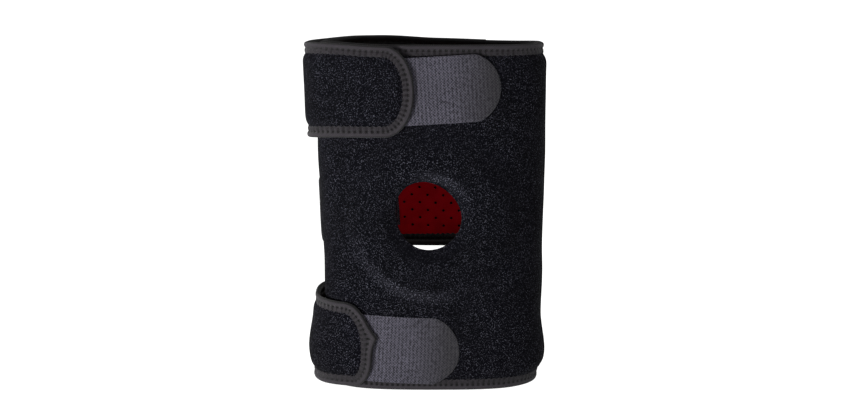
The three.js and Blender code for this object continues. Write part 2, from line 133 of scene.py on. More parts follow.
# Long crossed waves in all layers: length along, length up, start, height
RIPPLE_WAVES = ((61, 97, 0.4, 0.22), (43, -71, 2.1, 0.16), (-37, 53, 4.0, 0.1), (29, 83, 5.2, 0.09))
# The upper rim's unevenness: where along it, how wide, how deep or high
RIM_DIP = (86, 48, 2.2)
RIM_RISE = (145, 200, 215, 260, 2.0)  # starts, is up, starts down, is down, height
RIM_HUMP = (328, 30, 1.9)

# The cloth comes out from under the tape with a swell, and its faces lie near the laminate's middle there
SWELL_START, SWELL_WIDTH, SWELL_POWER = 9.2, 7.5, 2.2
CLOTH_OUTER_SQUEEZED, CLOTH_INNER_SQUEEZED = 0.12, -0.05
LINING_OUTER_SQUEEZED, LINING_INNER_SQUEEZED = -0.1, -0.22

# Insets of the grids' lines, closer where the form bends: next to bound edges, the hidden end and the seam
EDGE_INSETS = np.array([0, 4, 7.6, 8.6, 9.6, 10.8, 12.2, 14, 16])
END_INSETS = np.array([0, 4, 7.6, 8.8, 10, 12, 14, 16])
SEAM_INSETS = np.array([0, 1, 2, 3, 4.5, 6])
STRAP_CELL = 2.2
PATH_STEP = 0.6

# The lining's punched holes: one place of the pattern, what they keep clear of, and their form
PUNCH_ALONG, PUNCH_UP = 156.0, 154.5
PUNCH_CLEAR_OF_EDGE, PUNCH_CLEAR_OF_HOLE = 11.5, 4.0
PLAIN_CLEAR_OF_EDGE, PLAIN_CLEAR_OF_HOLE = 1.5, 2.2
PUNCH_SIDES, PUNCH_WITHIN = 10, 0.93
FAR = 1e3

# The tape's relief: roll, dents at the stitches, slanted ridges across the hem, scallops at its edge
ROLL_WIDTH, ROLL_HEIGHT = 2.1, 2.15
DENT_DEPTH, DENT_ACROSS, DENT_ALONG = 0.58, 0.8, 0.95
RIDGE_HEIGHT, RIDGE_WIDTH, RIDGE_SLANT, RIDGE_SINK = 0.4, 0.9, 0.03, 0.35
HEM_STARTS, HEM_ENDS = (5.2, 6.2), (8.8, TAPE_WIDTH)
SCALLOP, SCALLOP_EASE = 0.45, (7.5, TAPE_WIDTH)
LOWEST_UNDERSIDE = 0.27  # so the tape's two legs don't meet
UNDERSIDE_PLACE = 0.03 / MM  # place in the pattern, past the dark line, of faces that nobody sees

TAB_RIM_INSETS = np.array([0, 0.5, 1.2, 2.4])
TAB_RIM_DROP, TAB_RIM_WIDTH = 0.45, 0.7
TAB_STRAIGHT_LINES, TAB_ROUND_LINES = 54, 30

# The stage, in metres, degrees and Blender's units of light
FLOOR_HALF, FLOOR_DROP, FLOOR_DARK, FLOOR_LIGHT = 60.0, 0.0003, 0.93, 0.95
WORLD_STRENGTH = 0.38
OVERHEAD_STRENGTH, OVERHEAD_ANGLE = 3.15, 8
KEY_POWER, KEY_SIZE, KEY_PLACE, KEY_AIM = 17.3, 0.24, (-0.53, -0.7, 0.04), (0, 0, 0.14)
SENSOR_WIDTH, LENS = 36.0, 56.3
PITCH, YAW, DISTANCE, AIM = 10.48, -0.15, 1.189, (0.0017, 0, 0.1547)


def smoothstep(value, low, high):
    """Eases from 0 at low to 1 at high."""
    t = np.clip((np.asarray(value, float) - low) / (high - low), 0, 1)
    return t * t * (3 - 2 * t)


def bell(distance, width):
    """exp(-(distance / width)^2)."""
    return np.exp(-(distance / width) ** 2)


def partner(value, own, other):
    """The plan curve's other coordinate where one is value."""
    return other * (1 - abs(value / own) ** ROUNDING) ** (1 / ROUNDING)


def plan_point(angle):
    """Plan curve by its polar angle: the radius is (|cos/A|^3 + |sin/B|^3)^(-1/3)."""
    c, s = np.cos(angle), np.sin(angle)
    radius = (abs(c / HALF_WIDTH) ** ROUNDING + abs(s / HALF_DEPTH) ** ROUNDING) ** (-1 / ROUNDING)
    return radius * c, radius * s


PLAN_START = math.atan2(-SEAM_FORWARD, partner(SEAM_FORWARD, HALF_DEPTH, HALF_WIDTH))
PLAN_ANGLES = PLAN_START + np.linspace(0, 2 * np.pi, 6001)
PLAN_LENGTHS = np.append(0, np.cumsum(np.hypot(*np.diff(plan_point(PLAN_ANGLES), axis=1))))
ROUND = PLAN_LENGTHS[-1]


def along_of(across, side):
    """Arc length from the side seam to the front's or back's point at a distance across."""
    deep = partner(across, HALF_WIDTH, HALF_DEPTH) * (-1 if side == "front" else 1)
    turn = (math.atan2(deep, across) - PLAN_START) % (2 * math.pi)
    return float(np.interp(turn, PLAN_ANGLES - PLAN_START, PLAN_LENGTHS))


def tip_of(name):
    """Arc length from the side seam to a strap's tip."""
    return along_of(STRAPS[name]["across"], STRAPS[name]["side"])


HIDDEN_END = along_of(HIDDEN_ACROSS, "back")
ROOT = along_of(ROOT_ACROSS, "back")
LEFT_SIDE = along_of(-HALF_WIDTH, "back")
HOLE_ALONG = along_of(HOLE_ACROSS, "front")
FRONT_END = ROUND - SEAM_GAP / 2


def section_at(up):
    """Shares of the half width and half depth and the lean, eased from each row to the next."""
    at = np.clip(up / HEIGHT, 0, 1)
    row = np.clip(np.searchsorted(SECTIONS[:, 0], at), 1, len(SECTIONS) - 1)
    low, high = SECTIONS[row - 1], SECTIONS[row]
    t = smoothstep((at - low[..., 0]) / (high[..., 0] - low[..., 0]), 0, 1)[..., None]
    return np.moveaxis(low[..., 1:] + (high[..., 1:] - low[..., 1:]) * t, -1, 0)


def ripple(along, up):
    """Slow unevenness of all layers: the sum of high * sin(2 pi (along / a + up / u) + start)."""
    total = sum(high * np.sin(2 * np.pi * (along / a + up / u) + start) for a, u, start, high in RIPPLE_WAVES)
    return total * smoothstep(up, 0, 25)


def rim_lift(along, up):
    """The upper rim isn't level: it dips at the right of the back, rises at the left of it and again
    at the left of the front."""
    along = along % ROUND
    dip, hump = (height * bell(along - place, width) for place, width, height in (RIM_DIP, RIM_HUMP))
    rise = RIM_RISE[4] * smoothstep(along, *RIM_RISE[:2]) * (1 - smoothstep(along, *RIM_RISE[2:4]))
    return (rise + hump - dip) * smoothstep(up, 0.5 * HEIGHT, HEIGHT)


def wrap(along, up, out):
    """Puts pattern points in space: round the plan curve, outwards by out, then by height."""
    along, up, out = np.broadcast_arrays(*(np.asarray(v, float) for v in (along, up, out)))
    out = out + ripple(along, up)
    x, y = plan_point(np.interp(along % ROUND, PLAN_LENGTHS, PLAN_ANGLES))
    nx, ny = x * abs(x) / HALF_WIDTH ** 3, y * abs(y) / HALF_DEPTH ** 3
    steep = np.hypot(nx, ny)
    width, depth, lean = section_at(up)
    return MM * np.stack([
        (x + out * nx / steep) * width + HALF_WIDTH * lean + SHIFT[0],
        (y + out * ny / steep) * depth + SHIFT[1],
        up + rim_lift(along, up),
    ], -1)


def straight_edges(name, along):
    """Heights of a strap's low and high edge, each straight from its root to its tip."""
    row = STRAPS[name]
    share = (along - ROOT) / (tip_of(name) - ROOT)
    return [row[edge][0] + (row[edge][1] - row[edge][0]) * share for edge in ("low", "high")]


def rest_of(name):
    """Where a strap's outer face lies: flush at its root, up onto the hidden end, away round the left."""
    row = STRAPS[name]
    climbed = HIDDEN_END - CLIMB_CLEAR

    def rest(along, up):
        share = np.clip((up - row["low"][0]) / (row["high"][0] - row["low"][0]), 0, 1)
        away = np.clip(abs(along - LEFT_SIDE) / (STAND_OFF_WIDTH / 2), 0, 1)
        part = np.full(np.shape(share), row["shares"][0][1], float)
        for (low, from_out), (high, to_out) in zip(row["shares"], row["shares"][1:]):
            part = part + (to_out - from_out) * smoothstep(share, low, high)
        stand = row["stand_off"] * np.cos(away * np.pi / 2) ** 2 * part
        low, high = straight_edges(name, along)
        drawn = STRAP_PULL * (1 - smoothstep(np.minimum(up - low, high - up), *STRAP_PULL_EASE))
        return STRAP_REST * smoothstep(along, climbed - CLIMB, climbed) + stand - drawn

    return rest


def flat_rest(along, up):
    """Panels lie at the outer face itself, with their rims drawn in by the tape."""
    edge = np.minimum(up, HEIGHT - up)
    across = plan_point(np.interp(along % ROUND, PLAN_LENGTHS, PLAN_ANGLES))[0]
    pull = RIM_PULL + SIDE_PULL * smoothstep(abs(across), *SIDE_PULL_EASE)
    return -pull * (1 - smoothstep(edge, *RIM_PULL_EASE))


def hole_radius(angle):
    """The kneecap hole's outline: an ellipse that is a little flatter at its upper right."""
    ellipse = 1 / np.hypot(np.cos(angle) / HOLE_HALF_WIDTH, np.sin(angle) / HOLE_HALF_HEIGHT)
    return ellipse * (1 - 0.037 * np.sin(2 * angle) * (1 + 1.2 * np.sin(angle)))


def past_hole(along, up):
    """Distance past the kneecap hole's outline, on a ray from its middle."""
    x, y = along - HOLE_ALONG, up - HOLE_UP
    return np.hypot(x, y) - hole_radius(np.arctan2(y, x))


def ring_rise(along, up):
    """Relief of the padded ring: up within its inner slope, down within its outer one."""
    x, y = along - HOLE_ALONG, up - HOLE_UP
    inner = smoothstep(np.hypot(x, y), RING_INNER, RING_INNER + RING_INNER_SLOPE)
    slope = RING_OUTER_SLOPE + RING_SOFTER_TOP * smoothstep(y, -20, 50)
    outer = np.hypot(x - RING_SHIFT[0], y - RING_SHIFT[1])
    outer = smoothstep(outer, RING_OUTER - slope, RING_OUTER)
    return RING_RISE * inner * (1 - outer)


def painted_ring_light_of(along, up):
    """Painted light and shade on the ring's flanks: lighter where a flank leans towards the lower
    left, darker where it leans away.

    The slope's steepness is a share of the outer flank's, which at its middle is 1.5 rise / slope.
    """
    across = (ring_rise(along + 1, up) - ring_rise(along - 1, up)) / 2
    upward = (ring_rise(along, up + 1) - ring_rise(along, up - 1)) / 2
    steep = np.hypot(across, upward)
    facing = (PAINTED_LIGHT_FROM[0] * across + PAINTED_LIGHT_FROM[1] * upward) / np.maximum(steep, 1e-6)
    steep = np.clip(steep / (1.5 * RING_RISE / RING_OUTER_SLOPE), 0, 1)
    light = abs(facing) ** PAINTED_LIGHT_FOCUS * steep ** PAINTED_LIGHT_GROWTH
    return np.where(facing > 0, light, -abs(facing) * steep ** PAINTED_SHADE_GROWTH)


def swollen(inset, squeezed, full, leg=1.0):
    """How far out a face lies: squeezed from the laminate's middle under the tape, then by a quick
    swell of 1 - (1 - t)^2.2 to its full place. The swell starts further in by the tape's leg."""
    t = np.clip((inset - SWELL_START * leg) / SWELL_WIDTH, 0, 1)
    return MID + squeezed + (full - MID - squeezed) * (1 - (1 - t) ** SWELL_POWER)


def cloth_outer(inset):
    return swollen(inset, CLOTH_OUTER_SQUEEZED, 0.0)


def cloth_inner(inset, leg=INNER_LEG):
    return swollen(inset, CLOTH_INNER_SQUEEZED, -FOAM, leg)


def lining_outer(inset, leg=INNER_LEG):
    return swollen(inset, LINING_OUTER_SQUEEZED, -FOAM - LAYER_GAP, leg)


def lining_inner(inset, leg=INNER_LEG):
    return swollen(inset, LINING_INNER_SQUEEZED, -LAMINATE, leg)


def grid_faces(rows, columns, closed=False):
    """Quads of a grid whose points run along each row; closed joins the last column to the first."""
    across = columns if closed else columns - 1
    i, j = np.meshgrid(np.arange(rows - 1), np.arange(across), indexing="ij")
    a = i * columns + j
    b = i * columns + (j + 1) % columns
    return np.stack([a, b, b + columns, a + columns], -1).reshape(-1, 4)


def border_of(faces):
    """Directed edges that belong to one face only."""
    edges = np.concatenate([np.stack([faces[:, k], np.roll(faces, -1, 1)[:, k]], -1)
                            for k in range(faces.shape[1])])
    edges = edges[edges[:, 0] != edges[:, 1]]
    keys = np.sort(edges, 1)
    _, place, times = np.unique(keys, axis=0, return_index=True, return_counts=True)
    return edges[place[times == 1]]


def closed_sheet(faces, count):
    """A sheet's outer faces, its inner faces turned round, and a wall along every free edge."""
    edges = border_of(faces)
    walls = np.stack([edges[:, 1], edges[:, 0], edges[:, 0] + count, edges[:, 1] + count], -1)
    back = faces[:, ::-1] + count
    if faces.shape[1] == 3:
        return [faces, back, walls]
    return [np.concatenate([faces, back, walls])]


def two_faces(along, up, outer, inner):
    """Points of a cloth's outer face, then those of its inner face."""
    return np.concatenate([wrap(along, up, out).reshape(-1, 3) for out in (outer, inner)])


def twice(x, y):
    """Places in the flat pattern, for both faces."""
    return np.tile(np.stack([x, y], -1).reshape(-1, 2), (2, 1))


def add_piece(name, points, faces, pattern, material, nodes):
    """Makes a piece of points in metres and faces, with its pattern places as UV, on the body root."""
    mesh = bpy.data.meshes.new(name)
    mesh.from_pydata(points.tolist(), [], [f for block in faces for f in block.tolist()])
    corners = np.empty(len(mesh.loops), np.int32)
    mesh.loops.foreach_get("vertex_index", corners)
    layer = mesh.uv_layers.new(name="pattern")
    layer.data.foreach_set("uv", (pattern[corners] * MM).astype(np.float32).ravel())
    work = bmesh.new()
    work.from_mesh(mesh)
    bmesh.ops.remove_doubles(work, verts=work.verts, dist=2e-6)
    bmesh.ops.dissolve_degenerate(work, dist=1e-7, edges=work.edges)
    bmesh.ops.recalc_face_normals(work, faces=work.faces)
    work.to_mesh(mesh)
    work.free()
    mesh.shade_smooth()
    mesh.set_sharp_from_angle(angle=math.radians(50))
    mesh.materials.append(material)
    piece = bpy.data.objects.new(name, mesh)
    bpy.context.scene.collection.objects.link(piece)
    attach(piece, "root")
    if nodes:
        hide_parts(*nodes)
    return piece


def resample(path, step):
    """A polyline at even steps."""
    lengths = np.append(0, np.cumsum(np.hypot(*np.diff(path, axis=0).T)))
    at = np.linspace(0, lengths[-1], max(2, round(lengths[-1] / step) + 1))
    return np.stack([np.interp(at, lengths, path[:, k]) for k in (0, 1)], -1)


def inward_of(path, spread):
    """Unit vectors to the left of a path, averaged over a spread of points."""
    forward = np.gradient(path, axis=0)
    left = np.stack([-forward[:, 1], forward[:, 0]], -1)
    left /= np.linalg.norm(left, axis=1, keepdims=True)
    if spread:
        reach = np.arange(-3 * spread, 3 * spread + 1)
        weight = np.exp(-0.5 * (reach / spread) ** 2)
        padded = np.pad(left, ((3 * spread,) * 2, (0, 0)), "edge")
        left = np.stack([np.convolve(padded[:, k], weight / weight.sum(), "valid") for k in (0, 1)], -1)
        left /= np.linalg.norm(left, axis=1, keepdims=True)
    return left


def strap_ends(name, along):
    """Heights of a strap's low and high edge: straight runs, the low one with a sag at the left side,
    then quarter ellipses at the tip."""
    row = STRAPS[name]
    low, high = straight_edges(name, along)
    low = low - row["sag"] * bell(along - SAG_ALONG, SAG_WIDTH)
    lift = [turn * (1 - np.sqrt(1 - np.clip((along - (tip_of(name) - deep)) / deep, 0, 1) ** 2))
            for turn, deep in zip(row["turn"], row["deep"])]
    return low + lift[0], high - lift[1]


def strap_outline(name, step=PATH_STEP):
    """Out along the low edge, round the tip and back along the high edge, at even steps."""
    tip = tip_of(name)
    bend = tip - max(STRAPS[name]["deep"])
    run = np.linspace(ROOT + SEAM_GAP / 2, bend, 200)
    turn = bend + (tip - bend) * np.sin(np.linspace(0, np.pi / 2, 160))
    along = np.append(run, turn[1:])
    low, high = strap_ends(name, along)
    path = np.concatenate([np.stack([along, low], -1), np.stack([along, high], -1)[::-1]])
    return resample(path, step)


def distance_to(places, along, up):
    """Distance of every point from the nearest of some places."""
    points = np.stack([np.ravel(along), np.ravel(up)], -1)
    nearest = np.concatenate([
        np.sqrt(((block[:, None] - places[None]) ** 2).sum(-1).min(1))
        for block in np.array_split(points, max(1, len(points) // 400))
    ])
    return nearest.reshape(np.shape(along))


def build_strap(name, material):
    """A strap's cloth: columns from its low to its high edge, closer towards the tip, on two faces."""
    row = STRAPS[name]
    tip = tip_of(name) - CLOTH_INSET
    bend = tip - max(row["deep"])
    run = np.linspace(ROOT + SEAM_GAP / 2, bend, round((bend - ROOT) / STRAP_CELL))
    turn = bend + (tip - bend) * np.sin(np.linspace(0, np.pi / 2, 22))
    along = np.append(run, turn[1:])
    low, high = strap_ends(name, along + CLOTH_INSET * (along > bend))
    low, high = low + CLOTH_INSET, high - CLOTH_INSET
    tall = row["high"][0] - row["low"][0] - 2 * CLOTH_INSET
    wide = EDGE_INSETS[-1]
    middle = np.linspace(wide, tall - wide, round((tall - 2 * wide) / STRAP_CELL) + 1)[1:-1]
    share = np.concatenate([EDGE_INSETS, middle, tall - EDGE_INSETS[::-1]]) / tall
    a = np.repeat(along[:, None], len(share), 1)
    u = low[:, None] + (high - low)[:, None] * share[None]
    inset = distance_to(strap_outline(name), a, u)
    rest = rest_of(name)(a, u)
    points = two_faces(a, u, rest + cloth_outer(inset), rest + cloth_inner(inset, row["leg"]))
    piece = add_piece(name + "_strap_cloth", points, closed_sheet(grid_faces(*a.shape), a.size), twice(a, u),
                      material, [name + "_strap"])


def seam_valley(along):
    """The sewn seam draws both panels in next to it."""
    return -SEAM_VALLEY * bell(np.minimum(along % ROUND, ROUND - along % ROUND), SEAM_VALLEY_WIDTH)


def front_inset(along, up):
    """Distance from the front panel's rims and from its hidden end."""
    return np.minimum(np.minimum(up, HEIGHT - up), along - HIDDEN_END)


def build_front_panel(material):
    """The front panel: a grid with a square block left out, whose rim is carried onto the hole.

    Round the hole a point at square distance q goes from the hole's outline, at q = block, to its
    own place, at q = field, along the blend of the two.
    """
    cell, block, field = 2.0, 26.0, 66.0
    first, last = HIDDEN_END + CLOTH_INSET, FRONT_END
    inner = HOLE_ALONG + np.arange(-field, field + cell / 2, cell)
    along = np.concatenate([first + END_INSETS[:-1], np.linspace(first + END_INSETS[-1], inner[0], 60)[:-1],
                            inner, np.linspace(inner[-1], last - SEAM_INSETS[-1], 22)[1:],
                            last - SEAM_INSETS[-2::-1]])
    edge = EDGE_INSETS + CLOTH_INSET
    core = HOLE_UP + np.arange(-field, field + cell / 2, cell)
    up = np.concatenate([edge[:-1], np.linspace(edge[-1], core[0], 34)[:-1], core,
                         np.linspace(core[-1], HEIGHT - edge[-1], 32)[1:], HEIGHT - edge[::-1][1:]])
    a, u = np.meshgrid(along, up, indexing="ij")
    x, y = a - HOLE_ALONG, u - HOLE_UP
    square = np.maximum(abs(x), abs(y))
    angle = np.arctan2(y, x)
    t = np.clip((square - block) / (field - block), 0, 1)
    radius = hole_radius(angle) * (1 - t) + field * t
    near = (square < field)[..., None]
    round_place = np.stack([radius * np.cos(angle), radius * np.sin(angle)], -1)
    blend = smoothstep(t, 0, 1)[..., None]
    moved = np.where(near, round_place * (1 - blend) + np.stack([x, y], -1) * blend, np.stack([x, y], -1))
    a, u = HOLE_ALONG + moved[..., 0], HOLE_UP + moved[..., 1]
    faces = grid_faces(len(along), len(up))
    middle = np.stack([x, y], -1).reshape(-1, 2)[faces].mean(1)
    faces = faces[(abs(middle) > block).any(1)]
    inset = front_inset(a, u)
    cut = np.exp(-np.clip(past_hole(a, u), 0, None) / HOLE_EDGE_WIDTH)
    rest = flat_rest(a, u)
    outer = rest + cloth_outer(inset) + ring_rise(a, u) + seam_valley(a) - HOLE_EDGE_DROP * cut
    points = two_faces(a, u, outer, rest + cloth_inner(inset))
    used, back = np.unique(faces, return_inverse=True)
    keep = np.concatenate([used, used + a.size])
    piece = add_piece("front_panel_cloth", points[keep], closed_sheet(back.reshape(-1, 4), len(used)),
                      twice(a, u)[keep], material, ["front_panel"])
    # Painted light and shade of the ring's flanks, kept at every point for the cloth's colour.
    painted_ring_light = piece.data.attributes.new("painted_ring_light", "FLOAT", "POINT")
    place = np.empty(2 * len(piece.data.loops), np.float32)
    piece.data.uv_layers["pattern"].data.foreach_get("uv", place)
    corners = np.empty(len(piece.data.loops), np.int32)
    piece.data.loops.foreach_get("vertex_index", corners)
    values = np.zeros(len(piece.data.vertices), np.float32)
    values[corners] = painted_ring_light_of(*(place.reshape(-1, 2).T / MM))
    painted_ring_light.data.foreach_set("value", values)


def slots():
    """Low and high edge of the two gaps between the straps at their roots."""
    rows = [STRAPS[name] for name in ("lower", "middle", "upper")]
    return [(a["high"][0], b["low"][0]) for a, b in zip(rows, rows[1:])]


def back_inset(along, up):
    """Distance from the back panel's rims and from the slots' blind ends."""
    inset = np.minimum(up, HEIGHT - up)
    for low, high in slots():
        beside = np.maximum(np.maximum(low - up, up - high), 0)
        inset = np.minimum(inset, np.hypot(beside, np.maximum(ROOT - along, 0)))
    return inset


def build_back_panel(material):
    """The back panel: a plain grid from the side seam to the straps' roots, on two faces."""
    first, last = SEAM_GAP / 2, ROOT - SEAM_GAP / 2
    along = np.concatenate([first + SEAM_INSETS[:-1],
                            np.linspace(first + SEAM_INSETS[-1], last - EDGE_INSETS[-1], 38),
                            last - EDGE_INSETS[-2::-1]])
    edge = EDGE_INSETS + CLOTH_INSET
    up = np.concatenate([edge[:-1], np.linspace(edge[-1], HEIGHT - edge[-1], 128), HEIGHT - edge[::-1][1:]])
    a, u = np.meshgrid(along, up, indexing="ij")
    inset, rest = back_inset(a, u), flat_rest(a, u)
    points = two_faces(a, u, rest + cloth_outer(inset) + seam_valley(a), rest + cloth_inner(inset))
    piece = add_piece("back_panel_cloth", points, closed_sheet(grid_faces(*a.shape), a.size), twice(a, u),
                      material, ["back_panel"])


def punched_lining(name, outline, opening, rest, inset_at, settings, material, nodes, leg=INNER_LEG):
    """A lining: its outline and punched holes filled with triangles, on two faces, with walls.

    The holes stand in rows, every second row moved by half a pitch, and keep clear of the edges. In
    each row there are three plain places, a quarter of a pitch apart, between two holes.
    """
    quarter, rows_apart = settings.hole_pitch / MM / 4, settings.hole_rows / MM
    radius = settings.hole_size / MM / 2
    (left, low), (right, high) = outline.min(0), outline.max(0)
    first, last = (left - PUNCH_ALONG) / quarter, (right - PUNCH_ALONG) / quarter
    lowest, highest = (low - PUNCH_UP) / rows_apart, (high - PUNCH_UP) / rows_apart
    i = np.arange(math.floor(first) - 4, math.ceil(last) + 4)
    j = np.arange(math.floor(lowest) - 1, math.ceil(highest) + 2)
    i, j = (v.ravel() for v in np.meshgrid(i, j, indexing="ij"))
    spots = np.stack([PUNCH_ALONG + i * quarter, PUNCH_UP + j * rows_apart], -1)
    on_hole = (i + 2 * (j % 2)) % 4 == 0
    inside = Inside(outline)(spots)
    inset = inset_at(*spots.T)
    to_hole = np.full(len(spots), FAR) if opening is None else past_hole(*spots.T)
    punch = inside & on_hole & (inset > PUNCH_CLEAR_OF_EDGE * leg) & (to_hole > PUNCH_CLEAR_OF_HOLE)
    plain = inside & ~punch & (inset > PLAIN_CLEAR_OF_EDGE) & (to_hole > PLAIN_CLEAR_OF_HOLE)
    punched = spots[punch]
    turn = 2 * np.pi * np.arange(PUNCH_SIDES) / PUNCH_SIDES
    circle = radius * np.stack([np.cos(turn), np.sin(turn)], -1)
    rims = (punched[:, None] + circle[None]).reshape(-1, 2)
    loops = [outline] + ([opening] if opening is not None else [])
    points = np.concatenate(loops + [rims, spots[plain & ~on_hole], spots[plain & on_hole]])
    edges, start = [], 0
    for loop in loops:
        ring = start + np.arange(len(loop))
        edges.append(np.stack([ring, np.roll(ring, -1)], -1))
        start += len(loop)
    ring = start + np.arange(len(rims)).reshape(-1, PUNCH_SIDES)
    edges.append(np.stack([ring, np.roll(ring, -1, 1)], -1).reshape(-1, 2))
    edges = np.concatenate(edges)
    flat, _, triangles, *_ = delaunay_2d_cdt([Vector(p) for p in points], edges.tolist(), [], 1, 1e-5, False)
    flat = np.array([tuple(p) for p in flat])
    triangles = np.array(triangles)
    centre = flat[triangles].mean(1)
    away = distance_to(punched, *centre.T) if len(punched) else np.full(len(centre), FAR)
    keep = Inside(outline)(centre) & (away > radius * PUNCH_WITHIN)
    if opening is not None:
        keep &= ~Inside(opening)(centre)
    triangles = triangles[keep]
    corner = flat[triangles]
    turned = np.cross(corner[:, 1] - corner[:, 0], corner[:, 2] - corner[:, 0]) < 0
    triangles[turned] = triangles[turned][:, ::-1]
    used, back = np.unique(triangles, return_inverse=True)
    flat, triangles = flat[used], back.reshape(-1, 3)
    a, u = flat.T
    inset, base = inset_at(a, u), rest(a, u)
    points = two_faces(a, u, base + lining_outer(inset, leg), base + lining_inner(inset, leg))
    return add_piece(name, points, closed_sheet(triangles, len(flat)), twice(a, u), material, nodes)


class Inside:
    """Tells which points lie within a loop, by how often a ray to the right crosses it."""

    def __init__(self, loop):
        self.start, self.end = loop, np.roll(loop, -1, 0)

    def __call__(self, points):
        (x0, y0), (x1, y1) = self.start.T, self.end.T
        flat = y0 == y1
        x0, y0, x1, y1 = x0[~flat], y0[~flat], x1[~flat], y1[~flat]
        result = np.zeros(len(points), bool)
        for block in np.array_split(np.arange(len(points)), max(1, len(points) // 500)):
            x, y = points[block, :1], points[block, 1:]
            crosses = (y0 <= y) != (y1 <= y)
            result[block] = (crosses & (x < x0 + (y - y0) / (y1 - y0) * (x1 - x0))).sum(1) % 2 == 1
        return result


def box_loop(left, right, low, high, step=4.0):
    """A rectangle's outline, anticlockwise, at even steps."""
    wide, tall = (max(2, round((b - a) / step)) for a, b in ((left, right), (low, high)))
    along, up = np.linspace(left, right, wide + 1), np.linspace(low, high, tall + 1)
    return np.concatenate([
        np.stack([along[:-1], np.full(wide, low)], -1),
        np.stack([np.full(tall, right), up[:-1]], -1),
        np.stack([along[::-1][:-1], np.full(wide, high)], -1),
        np.stack([np.full(tall, left), up[::-1][:-1]], -1),
    ])


def tape_section():
    """The tape across its width, as insets and heights over the laminate's middle.

    A half round roll, 4.3 mm thick, a furrow at the stitch line, a hem and a rounded inner edge.
    """
    inset = np.array([TAPE_WIDTH, 9.1, 8.6, 7.8, 7.0, 6.2, 5.6, 5.2, 4.8, 4.4, 4.0, 3.4, 2.7, 2.0, 1.4, 0.9,
                      0.5, 0.22, 0.05])
    nose = np.clip(inset / ROLL_WIDTH, 0, 1)
    roll = ROLL_HEIGHT * np.sqrt(1 - (1 - nose) ** 2)
    hem = np.interp(inset, [ROLL_WIDTH, 3.0, 3.9, STITCH_LINE, 5.7, 6.6, 8.0, 9.1, TAPE_WIDTH],
                    [2.2, 2.15, 1.85, 1.0, 1.15, 1.3, 1.2, 1.0, 0.8])
    return inset, np.where(inset > ROLL_WIDTH, hem, roll)


def build_tape(name, path, inward, rest, settings, material, nodes, kink=None, leg=INNER_LEG):
    """A tape folded over an edge: its section carried along the edge, with a dent at every stitch,
    a small ridge beside it across the hem, and a scalloped inner edge."""
    lengths = np.append(0, np.cumsum(np.hypot(*np.diff(path, axis=0).T)))
    pitch = settings.stitch_pitch / MM
    inset, height = tape_section()
    stitches = max(1, round(lengths[-1] / pitch))
    phase = lengths / lengths[-1] * stitches
    away = (abs((phase + 0.5) % 1 - 0.5) * lengths[-1] / stitches)[:, None]
    dent = bell(inset - STITCH_LINE, DENT_ACROSS) * bell(away, DENT_ALONG)
    hem = smoothstep(inset, *HEM_STARTS) * (1 - smoothstep(inset, *HEM_ENDS))
    slanted = abs((phase[:, None] + (inset - STITCH_LINE) * RIDGE_SLANT) % 1 - 0.5) * lengths[-1] / stitches
    top = height - DENT_DEPTH * dent + RIDGE_HEIGHT * hem * (bell(slanted, RIDGE_WIDTH) - RIDGE_SINK)
    reach = inset + SCALLOP * np.cos(2 * np.pi * phase)[:, None] * smoothstep(inset, *SCALLOP_EASE)
    if kink is None:
        kink = np.zeros(len(path))
    shift = -kink[:, None] * (1 - inset / TAPE_WIDTH)
    under = np.maximum(top - TAPE_WALL, LOWEST_UNDERSIDE)
    flip = slice(None, None, -1)
    farther = reach * leg + shift
    blocks = [(reach + shift, MID + top, inset), (farther[:, flip], MID - top[:, flip], -inset[flip])]
    deep = [k for k in range(len(inset)) if inset[k] >= TAPE_WALL + 0.3]
    lower = under[:, deep]
    blocks += [(farther[:, deep], MID - lower, np.full(len(deep), -UNDERSIDE_PLACE)),
               ((reach + shift)[:, deep][:, flip], MID + lower[:, flip], np.full(len(deep), UNDERSIDE_PLACE))]
    across = np.concatenate([b[0] for b in blocks], 1)
    out = np.concatenate([b[1] for b in blocks], 1)
    v = np.concatenate([b[2] for b in blocks])
    a = path[:, :1] + across * inward[:, :1]
    u = path[:, 1:] + across * inward[:, 1:]
    rings, sides = a.shape
    points = wrap(a, u, rest(a, u) + out)
    if path[:, 1].min() < SLOT_TURN:  # a tape on the lower rim rests on the floor
        points[..., 2] = np.maximum(points[..., 2], 0.0)
    faces = [grid_faces(rings, sides, closed=True)[:, ::-1], end_caps(blocks, rings, sides)]
    pattern = np.stack([np.repeat(lengths[:, None], sides, 1), np.repeat(v[None], rings, 0)], -1)
    piece = add_piece(name, points.reshape(-1, 3), faces, pattern.reshape(-1, 2), material, nodes)


def end_caps(blocks, rings, sides):
    """Faces that close a tape's two ends, between its upper skin and its under skin."""
    upper = len(blocks[0][0][0]) + len(blocks[1][0][0])
    under = sides - upper
    outer = np.arange(upper)
    inner = sides - 1 - np.round(np.linspace(0, under - 1, upper)).astype(int)
    cap = np.stack([outer[:-1], outer[1:], inner[1:], inner[:-1]], -1)
    return np.concatenate([cap, (rings - 1) * sides + cap[:, ::-1]])


def kink_of(path, name):
    """The pointed fold in the lower strap's tip: kink * exp(-(|distance| / reach)^1.4)."""
    row = STRAPS[name]
    if not row["kink"]:
        return None
    near = smoothstep(path[:, 0], tip_of(name) - 12, tip_of(name) - 4)
    return near * row["kink"] * np.exp(-(abs(path[:, 1] - KINK_UP) / KINK_REACH) ** 1.4)


